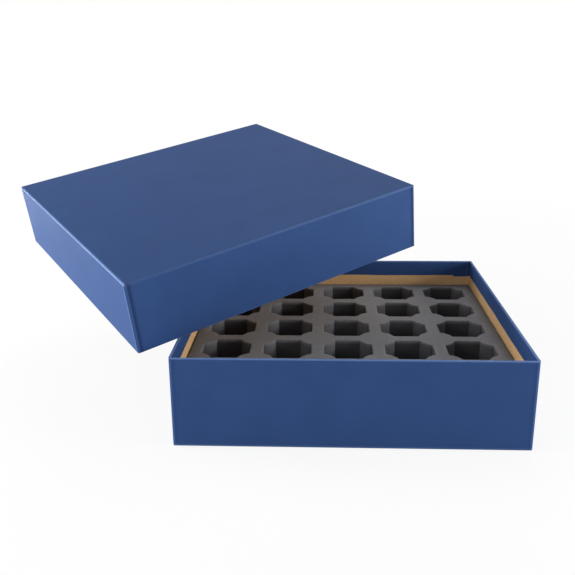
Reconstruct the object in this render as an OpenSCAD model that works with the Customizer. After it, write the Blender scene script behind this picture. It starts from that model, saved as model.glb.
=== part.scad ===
// Two-piece rigid set-up box with a foam insert that holds upright coin tubes.
// The base stands on Z = 0 with its middle on the origin and its front towards -Y.
// The lid is off: it lies askew, with one rim across the left wall of the base.

/* [Pockets] */
// Pockets from left to right
pocket_columns = 5; // [2:1:5]
// Pockets from front to back
pocket_rows = 5; // [2:1:5]
// Width of a pocket across its flats
pocket_w = 45; // [36:0.5:54]
// Radius of the round post of foam where two webs cross, which takes off the pockets' corners
post_r = 17.8; // [8:0.2:20]
// Foam left between two pockets
pocket_web = 12; // [6:0.5:20]

/* [Foam insert] */
// Height of the insert
insert_h = 50; // [36:1:58]
// Foam left under each pocket
insert_floor = 5; // [2:0.5:15]
// Foam left between the outer pockets and the edge of the insert
insert_margin = 10.7; // [6:0.1:20]
// Gap between the insert and the papered wall around it
insert_gap = 0.9; // [0.2:0.1:3]

/* [Board and paper] */
// Thickness of the board
board_t = 1.5; // [1:0.1:3]
// Thickness of the wrapping paper
paper_t = 0.2; // [0.1:0.05:0.4]
// Depth of the paper turned in over a rim
turn_in = 17; // [8:0.5:22]
// Outside radius of the wrapped upright corners
corner_r = 1.8; // [1:0.1:2.4]
// Outside radius of the edges where the board is folded up from its floor
fold_r = 1.2; // [0.6:0.1:1.4]
// Width of the seam where two board walls meet
seam_w = 0.2; // [0.1:0.05:0.4]

/* [Corner stays] */
// Reach of a stay along each of its two walls
stay_w = 12; // [6:0.5:20]
// Thickness of the gummed kraft tape
stay_t = 0.1; // [0.05:0.01:0.2]

/* [Base] */
// Outside height of the base
base_h = 80; // [72:1:110]

/* [Lid] */
// Outside height of the lid
lid_h = 66; // [30:1:72]
// Gap on each side between the closed lid and the base
lid_gap = 0.75; // [0.4:0.05:2]

/* [Lid taken off] */
// Slope of the lid towards its raised back, in degrees
lid_tip = 7; // [4:0.5:12]
// Slope of the lid towards its raised right side, in degrees
lid_lean = 9.8; // [6:0.2:14]
// Turn of the lid about the upright, in degrees
lid_turn = 34; // [24:1:44]
// Distance from the front of the base to the place where the lid's rim crosses its left wall
lid_rest_back = 42; // [20:1:60]
// Length of the lid's rim that hangs out past that wall
lid_overhang = 36; // [20:1:60]
// Clearance between the lid's rim and the rim that it lies on
lid_seat_gap = 0.3; // [0.2:0.05:0.5]

/* [Hidden] */
$fn = 32;

board_colour = [0.66, 0.53, 0.36];
paper_colour = [0.17, 0.28, 0.47];
foam_colour = [0.30, 0.30, 0.31];
tape_colour = [0.72, 0.56, 0.36];

// Insert outline, from the pockets outwards
insert_w = pocket_columns * pocket_w + (pocket_columns - 1) * pocket_web + 2 * insert_margin;
insert_d = pocket_rows * pocket_w + (pocket_rows - 1) * pocket_web + 2 * insert_margin;
pocket_pitch = pocket_w + pocket_web;

// Papered wall at a rim: a sheet outside, the board, and a sheet turned in
wall_t = board_t + 2 * paper_t;

// Bare wall or floor further down: a sheet outside and the board
bare_t = board_t + paper_t;
floor_z = bare_t;

// Outside of the base, around the insert, and outside of the lid, around the base
base_w = insert_w + 2 * (insert_gap + wall_t);
base_d = insert_d + 2 * (insert_gap + wall_t);
lid_w = base_w + 2 * (lid_gap + wall_t);
lid_d = base_d + 2 * (lid_gap + wall_t);

// Height at which a corner stay starts, above the floor and its folded edge
stay_z = max(floor_z, fold_r);

cut = 1; // Overshoot of a cut past the open face it leaves by

// Straight-sided block about the Z axis, between two heights
module block(w, d, z0, z1) {
  translate([-w / 2, -d / 2, z0]) cube([w, d, z1 - z0]);
}

// The same block with its four upright edges rounded
module rounded_block(w, d, r, z0, z1) {
  translate([0, 0, z0]) linear_extrude(z1 - z0) {
    square([w - 2 * r, d], center = true);
    square([w, d - 2 * r], center = true);
    for (x = [-1, 1], y = [-1, 1])
      translate([x * (w / 2 - r), y * (d / 2 - r)]) circle(r);
  }
}

// Bar along the Y axis with its two lower edges rounded
module round_footed_bar(w, d, r, z0, z1) {
  rotate([90, 0, 0]) translate([0, 0, -d / 2]) linear_extrude(d) {
    translate([-w / 2, z0 + r]) square([w, z1 - z0 - r]);
    translate([r - w / 2, z0]) square([w - 2 * r, z1 - z0]);
    for (x = [-1, 1])
      translate([x * (w / 2 - r), z0 + r]) circle(r);
  }
}

// Outside of a folded tray: a block whose upright edges and bottom edges are rounded
module folded_block(w, d, r, foot_r, z0, z1) {
  intersection() {
    rounded_block(w, d, r, z0, z1);
    round_footed_bar(w, d, foot_r, z0, z1);
    rotate([0, 0, 90]) round_footed_bar(d, w, foot_r, z0, z1);
  }
}

// Space inside the four board walls of a tray
module board_room(w, d, z0, z1) {
  block(w - 2 * bare_t, d - 2 * bare_t, z0, z1);
}

// Outside of the board of a wrapped tray
module board_block(w, d, h) {
  folded_block(w - 2 * paper_t, d - 2 * paper_t, corner_r - paper_t, fold_r - paper_t,
    paper_t, h - paper_t);
}

// Tape over one corner of a tray, flush with the outside of the board.
// sx and sy are -1 or 1 and pick the corner.
module corner_stay(w, d, h, sx, sy) {
  skin = paper_t + stay_t;
  color(tape_colour) intersection() {
    difference() {
      board_block(w, d, h);
      rounded_block(w - 2 * skin, d - 2 * skin, corner_r - skin, 0, h);
    }
    translate([sx * (w - stay_w) / 2, sy * (d - stay_w) / 2, 0])
      block(stay_w, stay_w, stay_z, h);
  }
}

// Slit down a corner of a tray, where its two walls meet edge to edge
module corner_seam(w, d, h, sx, sy) {
  reach = 2 * bare_t;
  translate([sx * (w / 2 - bare_t), sy * (d / 2 - bare_t), 0])
    rotate([0, 0, atan2(sy, sx)])
      translate([-seam_w, -seam_w / 2, floor_z])
        cube([reach + seam_w, seam_w, h - floor_z]);
}

// Folded board tray that opens upwards: a floor and four walls, held at the corners by stays
module board_tray(w, d, h) {
  color(board_colour) difference() {
    board_block(w, d, h);
    board_room(w, d, floor_z, h);
    for (sx = [-1, 1], sy = [-1, 1]) {
      corner_seam(w, d, h, sx, sy);
      corner_stay(w, d, h, sx, sy);
    }
  }
}

// One sheet of paper around the tray: under it, up its walls, over the rim and down inside
module paper_wrap(w, d, h) {
  mouth_w = w - 2 * wall_t;
  mouth_d = d - 2 * wall_t;
  color(paper_colour) difference() {
    folded_block(w, d, corner_r, fold_r, 0, h);
    difference() {
      board_block(w, d, h);
      board_room(w, d, h - turn_in, h);
    }
    block(mouth_w, mouth_d, h - turn_in - cut, h + cut);
  }
}

// Outline of a pocket: a square, with the side of a round post in each of its corners
module pocket_outline() {
  difference() {
    square(pocket_w, center = true);
    for (x = [-1, 1], y = [-1, 1])
      translate([x, y] * pocket_pitch / 2) circle(post_r);
  }
}

// Carries what belongs to the lid from its own place, rim down on Z = 0, to where it lies
module place_lid() {
  translate([-base_w / 2, lid_rest_back - base_d / 2, base_h + lid_seat_gap])
    rotate([lid_tip, -lid_lean, lid_turn])
      translate([lid_w / 2 - lid_overhang, lid_d / 2, lid_h])
        mirror([0, 0, 1]) children();
}

module base_board() {
  board_tray(base_w, base_d, base_h);
}

module base_wrap() {
  paper_wrap(base_w, base_d, base_h);
}

module base_stay(sx, sy) {
  corner_stay(base_w, base_d, base_h, sx, sy);
}

// Slab of foam on the floor of the base, with a pocket cut for each tube
module foam_insert() {
  color(foam_colour) difference() {
    block(insert_w, insert_d, floor_z, floor_z + insert_h);
    for (i = [0 : pocket_columns - 1], j = [0 : pocket_rows - 1])
      translate([
        (i - (pocket_columns - 1) / 2) * pocket_pitch,
        (j - (pocket_rows - 1) / 2) * pocket_pitch,
        floor_z + insert_floor
      ]) linear_extrude(insert_h) pocket_outline();
  }
}

module lid_board() {
  place_lid() board_tray(lid_w, lid_d, lid_h);
}

module lid_wrap() {
  place_lid() paper_wrap(lid_w, lid_d, lid_h);
}

module lid_stay(sx, sy) {
  place_lid() corner_stay(lid_w, lid_d, lid_h, sx, sy);
}

base_board();
base_wrap();
foam_insert();
base_stay(-1, -1);  // base_stay_front_left
base_stay(1, -1);  // base_stay_front_right
base_stay(-1, 1);  // base_stay_back_left
base_stay(1, 1);  // base_stay_back_right
lid_board();
lid_wrap();
lid_stay(-1, -1);  // lid_stay_front_left
lid_stay(1, -1);  // lid_stay_front_right
lid_stay(-1, 1);  // lid_stay_back_left
lid_stay(1, 1);  // lid_stay_back_right
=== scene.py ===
"""Looks of a two-piece rigid box for coin tubes: papered base, foam insert and a lid laid askew."""

import bpy
import numpy as np
from mathutils import Matrix, Vector


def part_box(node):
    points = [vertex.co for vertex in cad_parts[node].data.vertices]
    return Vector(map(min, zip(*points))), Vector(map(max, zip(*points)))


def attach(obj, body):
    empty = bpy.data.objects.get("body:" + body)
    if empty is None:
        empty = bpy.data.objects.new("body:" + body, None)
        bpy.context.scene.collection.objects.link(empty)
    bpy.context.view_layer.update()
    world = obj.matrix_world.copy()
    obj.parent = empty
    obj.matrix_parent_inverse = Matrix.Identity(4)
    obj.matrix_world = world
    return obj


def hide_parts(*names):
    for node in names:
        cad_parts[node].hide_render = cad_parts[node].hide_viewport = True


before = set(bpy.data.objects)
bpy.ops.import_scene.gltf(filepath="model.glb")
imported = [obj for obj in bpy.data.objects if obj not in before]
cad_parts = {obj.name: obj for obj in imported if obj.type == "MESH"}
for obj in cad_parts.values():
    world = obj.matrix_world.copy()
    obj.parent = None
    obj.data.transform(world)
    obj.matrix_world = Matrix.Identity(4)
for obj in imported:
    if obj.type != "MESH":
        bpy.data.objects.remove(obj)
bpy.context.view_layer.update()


# Camera: a little above the box and in front of it, turned slightly to its left.
# Its place is in metres from the middle of the base's underside, its angles are in radians.

PICTURE_PIXELS = 575
FOCAL_PIXELS = 763.3
SENSOR_MM = 36.0
CAMERA_PLACE = (-0.0260, -0.7197, 0.3203)
CAMERA_DIP = 0.3050
CAMERA_TURN = 0.0456
CAMERA_ROLL = -0.0087

camera_data = bpy.data.cameras.new("camera")
camera_data.sensor_width = SENSOR_MM
camera_data.lens = SENSOR_MM * FOCAL_PIXELS / PICTURE_PIXELS
camera = bpy.data.objects.new("camera", camera_data)
bpy.context.collection.objects.link(camera)
camera.matrix_world = (
    Matrix.Translation(CAMERA_PLACE)
    @ Matrix.Rotation(CAMERA_TURN, 4, "Z")
    @ Matrix.Rotation(np.pi / 2 - CAMERA_DIP, 4, "X")
    @ Matrix.Rotation(CAMERA_ROLL, 4, "Z")
)
bpy.context.scene.camera = camera


# Wrap of the base: one sheet of dyed paper glued under the tray, up its walls, over the rim and
# down inside. It is cut from a roll, folded round the board by hand and pressed at the corners,
# where the flaps of the front and back show as a strip beside the sheets of the side walls.

PAPER = 0.0002
SHEET = PAPER * 0.9  # As modelled, so that the back of the sheet clears the board
BOARD = 0.0015
TURN_IN = 0.017
CORNER_RADIUS = 0.0018
FOLD_RADIUS = 0.0012
RIM_RADIUS = 0.00055
INNER_RADIUS = 0.0003
SHARP_RADIUS = 0.00012
FLOOR_ROWS = (0.15, 0.4, 0.65, 0.85, 0.94, 0.98)  # Shares of the way from the middle to the wall
FLAT_STEP = 0.0004  # From a rounded edge to the first row of the flat beside it
# The next three set the band of rub round the folded edges and rim, which also carries a painted
# highlight.
RUB_REACH = 0.0013
RUB_BAND = 0.0010
WALL_RUB_AND_HIGHLIGHT = 0.4
CORNER_RUB = 0.25
MITRE_RUB = 0.7
LAP_STRIP = 0.0010
LAP_STEP = 0.00014
GROOVE_WIDTH = 0.0048
GROOVE_DEPTH = 0.00010
GROOVE_SCALE = 27 / 4  # Brings the highest value of x times (1 - x) squared to 1
MITRE_REACH = 0.0026
TAB_REACH = 0.018
TAB_DROP = 0.0014
TAB_STEP = 0.00014
HAIR = 0.0001
LONG_WAVE = (0.00022, 41)  # Height in metres, then radians to the metre
SHORT_WAVE = (0.00014, 137)
SIDE_SHIFT = 0.31  # Length by which the waves of one side run on past those of the side before
BASE_WAVE = 0.6
BEND_STEPS = 5
SIDE_SPACING = 0.011
CORNER_ZONE = 0.030
CORNER_STOPS = (
    0.0003, 0.0006, LAP_STRIP - HAIR, LAP_STRIP + HAIR, 0.0015, 0.0020, MITRE_REACH, 0.0033,
    0.0040, GROOVE_WIDTH, 0.008, 0.012, TAB_REACH - HAIR, TAB_REACH + HAIR, 0.024,
)


class Wire:
    """A shader socket: arithmetic on it adds a Math node to its tree and gives a new Wire."""

    def __init__(self, finish, socket):
        self.finish = finish
        self.socket = socket

    def __add__(self, other):
        return self.finish.math("ADD", self, other)

    def __sub__(self, other):
        return self.finish.math("SUBTRACT", self, other)

    def __rsub__(self, other):
        return self.finish.math("SUBTRACT", other, self)

    def __mul__(self, other):
        return self.finish.math("MULTIPLY", self, other)

    __radd__ = __add__
    __rmul__ = __mul__


def socket_in_use(sockets, key):
    """Socket by its number, or by its name among those that the node's settings leave in use."""
    if isinstance(key, int):
        return sockets[key]
    return next(s for s in sockets if s.name == key and s.enabled)


class Finish:
    """Nodes of a material, or of the sky: its main shader, and one method that adds a node."""

    def __init__(self, owner, shader="Principled BSDF", **constants):
        owner.use_nodes = True
        self.owner = owner
        self.tree = owner.node_tree
        self.shader = self.tree.nodes[shader]
        for socket, value in constants.items():
            self.shader.inputs[socket.replace("_", " ")].default_value = value

    def node(self, kind, inputs=None, out=0, stops=None, **settings):
        """Adds a node of one kind: its settings first, then a ramp's stops, then its sockets."""
        node = self.tree.nodes.new("ShaderNode" + kind)
        for setting, value in settings.items():
            setattr(node, setting, value)
        if stops:
            for element, (place, level) in zip(node.color_ramp.elements, stops):
                element.position = place
                element.color = (level, level, level, 1)
        for key, value in (inputs or {}).items():
            self.feed(socket_in_use(node.inputs, key), value)
        return Wire(self, socket_in_use(node.outputs, out))

    def feed(self, socket, value):
        """Links a Wire to a socket, or sets the socket to a number or colour."""
        if isinstance(value, Wire):
            self.tree.links.new(value.socket, socket)
        else:
            socket.default_value = value

    def math(self, operation, *values):
        """One Math operation on Wires or numbers."""
        return self.node("Math", dict(enumerate(values)), operation=operation)

    def place(self):
        """Place on the piece, in metres."""
        return self.node("TexCoord", out="Object")

    def noise(self, scale, detail=2.0, stretch=(1, 1, 1)):
        """Soft noise from 0 to 1, with about scale lumps to the metre."""
        place = self.node("Mapping", {"Vector": self.place(), "Scale": stretch})
        return self.node("TexNoise", {"Vector": place, "Scale": scale, "Detail": detail})

    def ramp(self, value, low, high):
        """Even rise from 0, where the value is low, to 1, where it is high."""
        return self.node("ValToRGB", {0: value}, stops=[(low, 0), (high, 1)])

    def mix(self, first, second, share):
        """Blend of two colours: all first where share is 0, all second where it is 1."""
        inputs = {"Factor": share, "A": first, "B": second}
        return self.node("Mix", inputs, out="Result", data_type="RGBA")

    def trace(self, name):
        """Value of a mesh attribute of the piece."""
        return self.node("Attribute", attribute_name=name, out="Fac")

    def surface(self, colour, roughness, *bumps):
        """Joins colour, roughness and bumps to the shader. A bump is (height, depth in metres)."""
        self.feed(self.shader.inputs["Base Color"], colour)
        self.feed(self.shader.inputs["Roughness"], roughness)
        normal = None
        for height, depth in bumps:
            inputs = {"Height": height, "Distance": depth}
            if normal:
                inputs["Normal"] = normal
            normal = self.node("Bump", inputs)
        self.feed(self.shader.inputs["Normal"], normal)
        return self.owner


def paper_finish():
    """Dyed wrapping paper: fine fibres, faint cloudiness, pale cut edges, rubbed folds with a
    painted highlight, and corner grooves with a painted shadow.
    """
    paper = Finish(bpy.data.materials.new("blue_wrapping_paper"), Specular_IOR_Level=0.05)
    dye = (0.030, 0.069, 0.192, 1)
    deep_dye = (0.025, 0.058, 0.164, 1)
    crease_shadow_blue = (0.010, 0.022, 0.070, 1)
    rubbed_and_highlight_blue = (0.130, 0.215, 0.430, 1)
    pale_core_and_highlight = (0.500, 0.600, 0.780, 1)
    cloud = paper.noise(28.0, 3.0)
    fibre = paper.noise(1500.0, 4.0)
    fleck = paper.noise(5200.0, 1.0)
    colour = paper.mix(dye, deep_dye, paper.ramp(cloud, 0.35, 0.70) * 0.6)
    colour = paper.mix(colour, deep_dye, fibre * 0.35)
    # Painted shadow darkens the grooves pressed beside the corners.
    colour = paper.mix(colour, crease_shadow_blue, paper.trace("crease_dent_and_shadow") * 0.75)
    # Folds and rim are lightened where rubbed and by a painted highlight; at the strongest rub the
    # painted highlight takes the pale core colour, which also marks the cut edges.
    rub_and_highlight = paper.trace("fold_rub_and_highlight") * (paper.noise(420.0, 3.0) * 0.50 + 0.42)
    colour = paper.mix(colour, rubbed_and_highlight_blue, paper.ramp(rub_and_highlight, 0.05, 0.75))
    colour = paper.mix(colour, pale_core_and_highlight, paper.ramp(rub_and_highlight, 0.72, 1.0))
    colour = paper.mix(colour, pale_core_and_highlight, paper.trace("cut") * 0.35)
    roughness = 0.48 + fibre * 0.14 - rub_and_highlight * 0.12
    return paper.surface(colour, roughness, (fibre, 0.00005), (fleck, 0.00002), (cloud, 0.0002))


def side_stops(half):
    """Places along one side of a ring, from -1 to 1: even steps, and closer ones near corners."""
    even = np.arange(half - CORNER_ZONE, -half + CORNER_ZONE, -SIDE_SPACING)
    near = half - np.array(CORNER_STOPS)
    places = np.unique(np.round(np.concatenate([near, -near, even, [half, -half]]), 7))
    return places / half


def quarter_turns(points):
    """The points, followed by them turned through one, two and three quarters about the middle."""
    quarter = np.array([[0.0, 1.0], [-1.0, 0.0]])
    return np.concatenate([points @ np.linalg.matrix_power(quarter, k) for k in range(4)])


def ring_pattern(stops, bend_steps):
    """Pattern of a rounded square ring, walked anticlockwise from the left end of its front side.

    A ring point is (half - radius) times its post plus radius times its reach: on a side the
    post slides from corner to corner, and at a corner the reach turns through a quarter circle.
    Also gives each point's side (0 front, 1 right, 2 back, 3 left), place along it and bend flag.
    """
    turn = np.linspace(-np.pi / 2, 0, bend_steps + 1)[1:-1]
    side_post = np.stack([stops, -np.ones_like(stops)], 1)
    side_reach = np.tile([0.0, -1.0], (len(stops), 1))
    bend_post = np.tile([1.0, -1.0], (len(turn), 1))
    bend_reach = np.stack([np.cos(turn), np.sin(turn)], 1)
    place = np.concatenate([stops, np.ones(len(turn))])
    bend = np.arange(len(place)) >= len(stops)
    return {
        "post": quarter_turns(np.concatenate([side_post, bend_post])),
        "reach": quarter_turns(np.concatenate([side_reach, bend_reach])),
        "side": np.repeat(np.arange(4), len(place)),
        "place": np.tile(place, 4),
        "bend": np.tile(bend, 4),
    }


def arc(centre, radius, start, end, steps=4):
    """Points on a circle about a centre, from one angle to another in degrees."""
    angle = np.radians(np.linspace(start, end, steps + 1))
    return np.stack([centre[0] + radius * np.cos(angle), centre[1] + radius * np.sin(angle)], 1)


def swept_rings(pattern, half, radius, height):
    """Grid of points: row i is the ring of half size half[i] and corner radius[i] at height[i].

    Each of the three has a row of values for each ring, one for each point along it.
    """
    flat = (half - radius)[..., None] * pattern["post"] + radius[..., None] * pattern["reach"]
    return np.concatenate([flat, height[..., None]], 2)


def ring_faces(rows, columns):
    """Quads between neighbouring rings of a grid, whose points are numbered row by row."""
    row, here = np.meshgrid(np.arange(rows - 1) * columns, np.arange(columns), indexing="ij")
    after = (here + 1) % columns
    above = row + columns
    return np.stack([row + here, row + after, above + after, above + here], 2).reshape(-1, 4)


def pole_faces(rows, columns):
    """Fans that close the first and last ring with a point each, numbered after the grid's."""
    around = np.arange(columns)
    after = (around + 1) % columns
    last = (rows - 1) * columns
    first_pole = rows * columns
    start = np.stack([np.full(columns, first_pole), after, around], 1)
    end = np.stack([np.full(columns, first_pole + 1), last + around, last + after], 1)
    return np.concatenate([start, end])


def folded_corner(full, inset):
    """Corner radius of a ring that lies inset from a wall whose corner radius is full.

    Along the diagonal the ring reaches as far out as a square cut back by inset, or as the wall
    itself where that is nearer. So the paper keeps outside the board round the folded edges.
    """
    radius = (np.sqrt(2) * (full - inset) - full) / (np.sqrt(2) - 1)
    return np.clip(radius, SHARP_RADIUS, full)


def new_piece(name, points, faces, finish, smooth_degrees=35.0, **traces):
    """Mesh object from arrays, with its attributes, smooth shading and one material."""
    mesh = bpy.data.meshes.new(name)
    mesh.from_pydata(points.reshape(-1, 3).tolist(), [], faces)
    for trace, values in traces.items():
        layer = mesh.attributes.new(trace, "FLOAT", "POINT")
        layer.data.foreach_set("value", np.ascontiguousarray(values, dtype=np.float32))
    mesh.materials.append(finish)
    mesh.update()
    mesh.shade_smooth()
    mesh.set_sharp_from_angle(angle=np.radians(smooth_degrees))
    piece = bpy.data.objects.new(name, mesh)
    bpy.context.collection.objects.link(piece)
    return piece


def tray_section(half, height):
    """Section of a tray's paper: distance from the middle, height, corner radius, part, and the rub
    of its folds with their painted highlight.

    It starts under the middle of the floor, rounds the folded edge, climbs the wall, rounds over
    the rim, runs down inside to the cut edge and comes back between paper and board.
    """
    inner = half - 2 * PAPER - BOARD
    behind = inner + SHEET
    back_half = half - SHEET
    low = FOLD_RADIUS
    high = height - RIM_RADIUS
    cut = height - TURN_IN
    edge = arc((half - low, low), low, -90, 0, 6)
    back_edge = arc((half - low, low), low - SHEET, 0, -90, 4)
    rises = [low + FLAT_STEP, *np.linspace(low + RUB_REACH, high - RUB_REACH, 8), high - FLAT_STEP]
    falls = np.linspace(high - RUB_REACH, cut, 6)
    parts = {
        "floor": [
            *[(share * half, 0.0) for share in FLOOR_ROWS],
            (half - low - RUB_REACH, 0.0),
        ],
        "edge": edge,
        "wall": [(half, z) for z in rises],
        "rim": [
            *arc((half - RIM_RADIUS, high), RIM_RADIUS, 0, 90),
            *arc((inner + RIM_RADIUS, high), RIM_RADIUS, 90, 180),
        ],
        "inside": [(inner, z) for z in falls],
        "cut": [(behind, cut)],
        "back": [
            (behind, high - RUB_REACH),
            (behind, height - SHEET),
            (back_half, height - SHEET),
            *back_edge,
            (FLOOR_ROWS[3] * half, SHEET),
            (FLOOR_ROWS[0] * half, SHEET),
        ],
    }
    size, level = np.concatenate([np.array(points) for points in parts.values()]).T
    part = np.repeat(list(parts), [len(points) for points in parts.values()])
    radius = np.maximum(CORNER_RADIUS - (half - size), INNER_RADIUS)
    radius[part == "edge"] = folded_corner(CORNER_RADIUS, half - edge[:, 0])
    radius[part == "floor"] = SHARP_RADIUS
    back = part == "back"
    radius[back] = folded_corner(CORNER_RADIUS - SHEET, back_half - size[back])
    radius[back & (size < behind + SHEET)] = INNER_RADIUS
    # Rub of the folds, with the painted highlight it carries: full on the edge and rim arcs, part
    # on the wall close to them.
    near_edge = (level < low + RUB_BAND) | (level > high - RUB_BAND)
    wall_rub_and_highlight = WALL_RUB_AND_HIGHLIGHT * ((part == "wall") & near_edge)
    rub_and_highlight_band = np.where(np.isin(part, ("edge", "rim")), 1.0, wall_rub_and_highlight)
    return size, level, radius, part, rub_and_highlight_band


def cut_wave(along, start):
    """Waver of a hand-cut edge: a long and a short sine wave along it, added up."""
    (long_height, long_rate), (short_height, short_rate) = LONG_WAVE, SHORT_WAVE
    long_wave = long_height * np.sin(long_rate * along + start)
    return long_wave + short_height * np.sin(short_rate * along + 2 * start)


def wrapped_tray(half, height, wave_start, groove, edge_rub_and_highlight, rim_rub_and_highlight):
    """Points, faces and attributes of the paper round a tray that opens upwards.

    The section is swept round a square. At the corners a strip of the side walls lies a step
    lower than the rest, and a groove is pressed into the front and back walls: its depth goes as
    x times (1 - x) squared across its width, and a painted shadow darkens it in step. Inside, the
    tabs of the front and back walls lie over the others. The last two arguments give the rub and
    painted highlight of each side's folded edge, which fade by half along the side, and of the rim.
    """
    size, level, radius, part, rub_and_highlight_band = tray_section(half, height)
    straight = half - CORNER_RADIUS
    pattern = ring_pattern(side_stops(straight), BEND_STEPS)
    side, place, bend = pattern["side"], pattern["place"], pattern["bend"]
    columns = len(side)
    size, level, radius, rub_and_highlight_band, part = (
        np.repeat(values[:, None], columns, 1) for values in (size, level, radius, rub_and_highlight_band, part))

    away = (1 - np.abs(place)) * straight
    side_wall = side % 2 == 1
    outside = np.isin(part, ("edge", "wall"))
    across = np.clip(away / GROOVE_WIDTH, 0, 1)
    dent = GROOVE_SCALE * across * (1 - across) ** 2
    lap = np.where(side_wall, away < LAP_STRIP, away < HAIR) | bend
    # The groove's dent also sets the painted shadow laid into it.
    crease_dent_and_shadow = np.where(side_wall | bend, 0.0, dent * groove)
    size = size - outside * np.maximum(LAP_STEP * lap, GROOVE_DEPTH * crease_dent_and_shadow)

    tab = ~side_wall & (away < TAB_REACH) & ~bend
    turned = np.isin(part, ("inside", "cut"))
    size = size - TAB_STEP * (turned & tab)
    low_end = np.isclose(level, height - TURN_IN, atol=1e-6)
    along = place * straight + side * SIDE_SHIFT
    level = level + (low_end & turned) * (cut_wave(along, wave_start) - TAB_DROP * tab)

    # Painted highlight with the rub: each side's folded edge has its own strength, highest on the
    # lid's left edge, fading by half along the side.
    fading = 0.75 - 0.25 * place
    rub_and_highlight_level = np.where(part == "edge", np.array(edge_rub_and_highlight)[side] * fading, rim_rub_and_highlight)
    corner_rub = outside * np.clip(CORNER_RUB - away / RUB_REACH, 0, 1)
    at_mitre = (part == "inside") & ~side_wall & (np.abs(away - MITRE_REACH) < 0.1 * HAIR)
    mitre = MITRE_RUB * at_mitre
    slit = (part == "wall") & side_wall & (np.abs(away - LAP_STRIP) < 1.1 * HAIR)
    traces = {
        "fold_rub_and_highlight": np.maximum(np.maximum(rub_and_highlight_band * rub_and_highlight_level, corner_rub), mitre),
        "cut": (part == "cut") | slit,
        "crease_dent_and_shadow": outside * crease_dent_and_shadow,
    }
    traces = {name: np.append(values.ravel(), [0, 0]) for name, values in traces.items()}
    rows = len(size)
    poles = np.array([[0.0, 0.0, 0.0], [0.0, 0.0, SHEET]])
    points = swept_rings(pattern, size, radius, level).reshape(-1, 3)
    faces = ring_faces(rows, columns).tolist() + pole_faces(rows, columns).tolist()
    return np.concatenate([points, poles]), faces, traces


blue_paper = paper_finish()
base_low, base_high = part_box("base_wrap")
base_half = (base_high.x - base_low.x) / 2
base_height = base_high.z - base_low.z

# The base's folds and rim carry rub and a painted highlight, and its corner grooves a faint painted
# shadow.
points, faces, traces = wrapped_tray(
    base_half, base_height, BASE_WAVE, groove=0.2, edge_rub_and_highlight=(0.5, 0.5, 0.5, 0.5), rim_rub_and_highlight=0.85)
base_paper = new_piece("base_paper", points, faces, blue_paper, **traces)
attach(base_paper, "base")
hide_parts("base_wrap")


# Boards: each tray is one piece of kraft-faced board, scored and folded up, with its four walls
# meeting edge to edge. The solids have their true form, so they only get their finish.


def board_finish():
    """Kraft-faced board: long pulp fibres both ways, darker flecks, dry and matt."""
    board = Finish(bpy.data.materials.new("kraft_board"), Specular_IOR_Level=0.25)
    kraft = (0.660, 0.405, 0.182, 1)
    dark_kraft = (0.480, 0.272, 0.108, 1)
    pale_kraft = (0.730, 0.490, 0.250, 1)
    cloud = board.noise(60.0, 3.0)
    long_fibre = board.noise(260.0, 4.0, stretch=(1, 1, 7))
    cross_fibre = board.noise(260.0, 4.0, stretch=(7, 7, 1))
    fleck = board.ramp(board.noise(900.0, 3.0), 0.62, 0.72)
    colour = board.mix(kraft, pale_kraft, cloud)
    colour = board.mix(colour, dark_kraft, board.ramp(long_fibre, 0.45, 0.75) * 0.45)
    colour = board.mix(colour, dark_kraft, board.ramp(cross_fibre, 0.50, 0.80) * 0.30)
    colour = board.mix(colour, dark_kraft, fleck * 0.5)
    roughness = 0.80 + cloud * 0.1
    return board.surface(colour, roughness, (long_fibre, 0.00008), (cross_fibre, 0.00006))


def dress(node, finish):
    """Gives a solid of the frame its finish."""
    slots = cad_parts[node].data.materials
    slots.clear()
    slots.append(finish)


kraft_board = board_finish()
dress("base_board", kraft_board)
dress("lid_board", kraft_board)


# Corner stays: strips of gummed kraft tape, wetted and pressed over the board's corners before
# the trays are wrapped. Each holds two walls together and stays hidden under the paper.


def tape_finish():
    """Gummed kraft tape: fine ribs along the strip, a little smoother than the board."""
    tape = Finish(bpy.data.materials.new("gummed_kraft_tape"), Specular_IOR_Level=0.4)
    rib = tape.noise(700.0, 2.0, stretch=(1, 1, 0.1))
    colour = tape.mix((0.48, 0.31, 0.15, 1), (0.36, 0.22, 0.10, 1), rib)
    return tape.surface(colour, 0.55 + rib * 0.1, (rib, 0.00003))


kraft_tape = tape_finish()
for tray in ("base", "lid"):
    for corner in ("front_left", "front_right", "back_left", "back_right"):
        dress(f"{tray}_stay_{corner}", kraft_tape)


# Foam insert: one slab of closed-cell foam, with a pocket for each tube and a round post of foam
# left where four pockets meet. The knife leaves torn, slightly rounded mouths and dark cut walls.
# Painted shade deepens the walls, less on the posts, and darkens the border along the base's
# walls; the torn mouths carry pale flecks with a painted highlight.

POCKETS = 5
POCKET_HALF = 0.0225
POCKET_PITCH = 0.057
POCKET_FLOOR = 0.0067
POST_RADIUS = 0.0178
MOUTH_RADIUS = 0.0008
MOUTH_RING = 0.0022  # From a pocket's wall out to the ring round its mouth
SIDE_STEPS = 6
POST_STEPS = 12
WALL_ROWS = 6
WALL_START = 0.004
FLOOR_CURVE = 0.0005
FLOOR_RING = 0.010
CUT_DEPTH = 0.002  # Depth below the mouth at which a wall has its full dark cut colour and painted shade
# Share of the walls' dark cut colour and painted shade that the round posts get, so they keep less
# painted shade than the flat sides.
POST_SHADE = 0.42
TEAR_DEPTH = 0.0011
TEAR_SPREAD = 0.5  # Strength of the pale torn flecks and painted highlight on the ring round the mouth, as a share of the lip
# Painted shade along the slab's border, where the base's walls shade the foam
BORDER_START = 0.006  # From the pockets' field inwards to where the border's painted shade starts
BORDER_FADE = 0.010
BORDER_SHADE = 0.75
EDGE_ROW = 0.02


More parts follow.
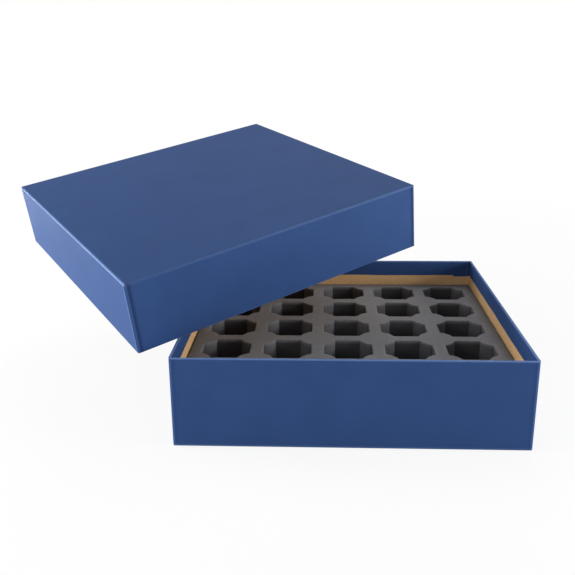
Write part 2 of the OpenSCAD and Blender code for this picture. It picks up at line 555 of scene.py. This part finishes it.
def foam_finish():
    """Closed-cell foam: pores on its skin, dark cut walls deepened by painted shade, a border
    darkened by painted shade, pale flecks with a painted highlight at torn mouths.
    """
    foam = Finish(
        bpy.data.materials.new("grey_foam"), Specular_IOR_Level=0.20, Sheen_Weight=0.15)
    grey = (0.192, 0.190, 0.200, 1)
    dark_grey = (0.126, 0.124, 0.132, 1)
    pale_tear_and_highlight_grey = (0.300, 0.298, 0.310, 1)
    cut_wall_and_shade_grey = (0.056, 0.054, 0.059, 1)
    cloud = foam.noise(45.0, 3.0)
    pore = foam.node("TexVoronoi", {"Vector": foam.place(), "Scale": 1300.0}, out="Distance")
    grain = foam.noise(2600.0, 2.0)
    tear_and_highlight = foam.ramp(foam.noise(650.0, 4.0), 0.50, 0.66)
    streak = foam.noise(420.0, 2.0, stretch=(1, 1, 0.06))
    colour = foam.mix(grey, dark_grey, foam.ramp(cloud, 0.3, 0.7) * 0.5)
    colour = foam.mix(colour, dark_grey, foam.ramp(pore, 0.15, 0.55) * 0.5)
    # Painted shade: the wall trace darkens the pockets' cut walls and the slab's border.
    colour = foam.mix(colour, cut_wall_and_shade_grey, foam.trace("wall"))
    # Painted highlight: pale flecks along the torn mouths.
    colour = foam.mix(colour, pale_tear_and_highlight_grey, foam.trace("mouth_tear_and_highlight") * tear_and_highlight * 0.5)
    bumps = ((pore, 0.0001), (grain, 0.00005), (streak, 0.00006))
    return foam.surface(colour, 0.80 + grain * 0.15, *bumps)


def flat_reach(outset):
    """Half the length of a pocket's flat side, at a ring that lies outset into the foam.

    The side stands POCKET_HALF + outset from the middle and ends where it meets the circle of
    radius POST_RADIUS - outset about the post, which is half a pitch away both ways.
    """
    post = POCKET_PITCH / 2
    return post - np.sqrt((POST_RADIUS - outset) ** 2 - (post - POCKET_HALF - outset) ** 2)


def flat_side(half, reach):
    """Even steps up the right side of a ring, from -reach to just short of reach."""
    up = np.linspace(-reach, reach, SIDE_STEPS + 1)[:-1]
    return np.stack([np.full(SIDE_STEPS, half), up], 1)


def pocket_ring(outset):
    """Points round a pocket, anticlockwise: even steps on each side, then round the next post."""
    post, half, reach = POCKET_PITCH / 2, POCKET_HALF + outset, flat_reach(outset)
    start = np.degrees(np.arctan2(reach - post, half - post))
    bulge = arc((post, post), POST_RADIUS - outset, start, -270.0 - start, POST_STEPS)[:-1]
    return quarter_turns(np.concatenate([flat_side(half, reach), bulge]))


def cell_ring():
    """Points round a pocket's square cell, one for each of pocket_ring's, so that cells meet."""
    half, reach = POCKET_PITCH / 2, flat_reach(0.0)
    share = np.arange(POST_STEPS) / POST_STEPS
    up = reach + (half - reach) * np.minimum(2 * share, 1)
    back = half - (half - reach) * np.maximum(2 * share - 1, 0)
    return quarter_turns(np.concatenate([flat_side(half, reach), np.stack([back, up], 1)]))


def foam_cells(top, spots):
    """Grid of points and attributes for a cell, from its square outline down to its floor.

    Its rings are the cell's outline, one just outside the mouth, the rounded lip, the wall and
    two on the floor. The cell is repeated at each spot. The torn mouth, with its pale flecks and
    painted highlight, fades with depth as a bell curve, and the dark of the cut wall, deepened by
    painted shade, grows evenly to its full value; the posts get less of it than the flat sides.
    """
    lip = arc((MOUTH_RADIUS, top - MOUTH_RADIUS), MOUTH_RADIUS, 90, 180)
    levels = np.linspace(top - WALL_START, POCKET_FLOOR + FLOOR_CURVE, WALL_ROWS)
    walls = [(0.0, z) for z in levels]
    floor_rings = [(-FLOOR_CURVE, POCKET_FLOOR), (-FLOOR_RING, POCKET_FLOOR)]
    steps = [(MOUTH_RING, top), *lip, *walls, *floor_rings]
    flat = np.array([cell_ring()] + [pocket_ring(outset) for outset, _ in steps])
    heights = np.array([top] + [z for _, z in steps])
    rows, columns = flat.shape[:2]
    cell = np.concatenate([flat, np.repeat(heights[:, None], columns, 1)[..., None]], 2)
    cells = cell.reshape(1, -1, 3) + np.pad(spots, ((0, 0), (0, 1)))[:, None]
    # Painted shade: the cut walls darken with depth, and the posts keep less of it than the flat
    # sides.
    depth = np.clip((top - MOUTH_RADIUS / 2 - heights) / CUT_DEPTH, 0, 1)
    shade = np.tile(np.repeat([1.0, POST_SHADE], [SIDE_STEPS + 1, POST_STEPS - 1]), 4)
    # Pale torn flecks with their painted highlight, fading from the mouth downwards.
    spread = np.append([0, TEAR_SPREAD], np.ones(rows - 2))
    torn_and_highlight = np.exp(-((top - heights) / TEAR_DEPTH) ** 2) * spread
    traces = {"wall": np.outer(depth, shade), "mouth_tear_and_highlight": np.repeat(torn_and_highlight[:, None], columns, 1)}
    traces = {name: np.tile(values.ravel(), len(spots)) for name, values in traces.items()}
    return cells, rows, columns, traces


def foam_slab(low, high):
    """Points, faces and attributes of the slab: its pockets' cells and a border swept round them.

    Points that cells and border share are joined at the end, so the slab is one closed mesh.
    """
    top = high.z
    middle = np.arange(POCKETS) - (POCKETS - 1) / 2
    spots = np.stack(np.meshgrid(middle, middle), 2).reshape(-1, 2) * POCKET_PITCH
    cells, rows, columns, traces = foam_cells(top, spots)
    starts = np.arange(len(spots))[:, None, None] * rows * columns
    pocket_quads = (ring_faces(rows, columns)[None] + starts).reshape(-1, 4)
    pocket_floors = np.arange((rows - 1) * columns, rows * columns) + starts[:, 0]

    field = POCKETS * POCKET_PITCH / 2
    side = np.unique(np.round(cell_ring()[:, 1], 7))
    stops = np.unique(np.round((side + middle[:, None] * POCKET_PITCH) / field, 6))
    pattern = ring_pattern(stops[:-1], 1)
    around = len(pattern["side"])
    half = (high.x - low.x) / 2
    edge = arc((half - MOUTH_RADIUS, top - MOUTH_RADIUS), MOUTH_RADIUS, 90, 0)
    foot = [(half, low.z + EDGE_ROW), (half, low.z), (half - EDGE_ROW, low.z)]
    section = np.array([(field, top), *edge, *foot])
    size, level = (np.repeat(values[:, None], around, 1) for values in section.T)
    border = swept_rings(pattern, size, np.zeros_like(size), level).reshape(-1, 3)
    start = cells.size // 3
    border_quads = ring_faces(len(section), around)[:, ::-1] + start
    last_ring = np.arange((len(section) - 1) * around, len(section) * around)
    underside = (last_ring + start)[None, ::-1]

    points = np.concatenate([cells.reshape(-1, 3), border])
    traces = {name: np.append(values, np.zeros(len(border))) for name, values in traces.items()}
    # Painted shade: the border darkens towards the slab's edge, where the base's walls shade the
    # foam.
    inset = np.abs(points[:, :2]).max(1) - field + BORDER_START
    traces["wall"] = np.maximum(traces["wall"], np.clip(inset / BORDER_FADE, 0, 1) * BORDER_SHADE)
    rounded = np.round(points, 6)
    _, first, joined = np.unique(rounded, axis=0, return_index=True, return_inverse=True)
    traces = {name: values[first] for name, values in traces.items()}
    groups = (pocket_quads, pocket_floors, border_quads, underside)
    faces = [face for group in groups for face in joined.ravel()[group].tolist()]
    return points[first], faces, traces


grey_foam = foam_finish()
foam_low, foam_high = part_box("foam_insert")
points, faces, traces = foam_slab(foam_low, foam_high)
foam = new_piece("foam_slab", points, faces, grey_foam, **traces)
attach(foam, "base")
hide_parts("foam_insert")


# Wrap of the lid: the same paper round a wider, lower tray, turned over. The lid is off the box
# and lies askew: one rim crosses the base's left wall, and its back right corner is raised.

LID_TIP, LID_LEAN, LID_TURN = np.radians([7.0, -9.8, 34.0])
LID_REST_BACK = 0.042
LID_OVERHANG = 0.036
LID_SEAT_GAP = 0.0003
LID_GAP = 0.00075
LID_HEIGHT = 0.066
LID_WAVE = 2.1


def lay_askew(points, half):
    """Carries points of the turned-over lid, whose rim is at Z = 0, to where it lies.

    The lid is turned about X, then Y, then Z, and the point of its rim LID_OVERHANG from its low
    corner is put just above the base's left rim, LID_REST_BACK behind the front.
    """
    turn = (
        Matrix.Rotation(LID_TURN, 3, "Z")
        @ Matrix.Rotation(LID_LEAN, 3, "Y")
        @ Matrix.Rotation(LID_TIP, 3, "X")
    )
    seat = np.array([-base_half, LID_REST_BACK - base_half, base_height + LID_SEAT_GAP])
    crossing = np.array([LID_OVERHANG - half, -half, 0.0])
    return (points - crossing) @ np.array(turn).T + seat


lid_half = base_half + LID_GAP + BOARD + 2 * PAPER
# The lid's left folded edge carries the strongest painted highlight, and its corner grooves a
# deeper dent and painted shadow.
points, faces, traces = wrapped_tray(
    lid_half, LID_HEIGHT, LID_WAVE, groove=0.9, edge_rub_and_highlight=(0.4, 0.4, 0.45, 0.95), rim_rub_and_highlight=0.3)
upturned = points * (1, -1, -1) + (0, 0, LID_HEIGHT)
lid_paper = new_piece("lid_paper", lay_askew(upturned, lid_half), faces, blue_paper, **traces)
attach(lid_paper, "lid")
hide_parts("lid_wrap")


# Studio: a white floor that keeps the box's soft shadow and runs into an even white sky. A broad
# lamp stands at the left, low ones at the back left, front left and right, one hangs behind.

FLOOR_HALF = 8.0
FLOOR_LEVEL = -0.0002
FLOOR_SHADE = 0.14  # Share of the floor's own light and shadow that shows close to the box
SKY_LIGHT = 0.35
BOX_MIDDLE = (0, 0, 0.08)


def seen_rays(finish):
    """1 for rays from the camera and those that gloss or glass sends on, 0 for all others."""
    kinds = ("Camera", "Glossy", "Transmission")
    camera_ray, glossy_ray, glass_ray = (
        finish.node("LightPath", out=f"Is {kind} Ray") for kind in kinds)
    return finish.math("MAXIMUM", finish.math("MAXIMUM", camera_ray, glossy_ray), glass_ray)


def stage_finish():
    """Matt white floor: to the camera and in reflections it glows white, more so further out."""
    stage = Finish(
        bpy.data.materials.new("studio_white"), Base_Color=(0.80, 0.80, 0.80, 1), Roughness=0.9)
    away = stage.node("VectorMath", {0: stage.place()}, out="Value", operation="LENGTH")
    share = 1 - (1 - stage.ramp(away * 0.5, 0.15, 0.55)) * FLOOR_SHADE
    glow = stage.node("Emission", {"Color": (1, 1, 1, 1), "Strength": 1.0})
    shade = Wire(stage, stage.shader.outputs[0])
    blend = stage.node("MixShader", {0: seen_rays(stage) * share, 1: shade, 2: glow})
    stage.feed(stage.tree.nodes["Material Output"].inputs["Surface"], blend)
    return stage.owner


def soft_lamp(name, place, aim, size, watts):
    """Square area lamp at a place, facing an aim point and hidden from the camera."""
    light = bpy.data.lights.new(name, "AREA")
    light.shape = "SQUARE"
    light.size = size
    light.energy = watts
    lamp = bpy.data.objects.new(name, light)
    bpy.context.collection.objects.link(lamp)
    lamp.location = place
    lamp.visible_camera = False
    lamp.rotation_euler = (Vector(aim) - Vector(place)).to_track_quat("-Z", "Y").to_euler()


floor_corners = np.array([(-1, -1), (1, -1), (1, 1), (-1, 1)]) * FLOOR_HALF
floor_points = np.pad(floor_corners, ((0, 0), (0, 1)), constant_values=FLOOR_LEVEL)
floor = new_piece("floor", floor_points, [[0, 1, 2, 3]], stage_finish())

soft_lamp("left_lamp", (-1.6, 0.0, 0.55), BOX_MIDDLE, 1.0, 28.0)
soft_lamp("low_left_lamp", (-1.2, 0.7, 0.12), (-0.2, 0.05, 0.12), 0.5, 14.0)
soft_lamp("front_left_lamp", (-0.9, -0.9, 0.25), BOX_MIDDLE, 0.6, 5.5)
soft_lamp("low_right_lamp", (0.85, -0.25, 0.23), (0, 0, 0.12), 0.4, 8.0)
soft_lamp("top_lamp", (0.2, 0.9, 1.5), BOX_MIDDLE, 1.0, 6.5)

sky = Finish(bpy.data.worlds.new("studio_sky"), "Background", Color=(1, 1, 1, 1))
sky.feed(sky.shader.inputs["Strength"], seen_rays(sky) * (1 - SKY_LIGHT) + SKY_LIGHT)
bpy.context.scene.world = sky.owner
bpy.context.scene.view_settings.view_transform = "Standard"
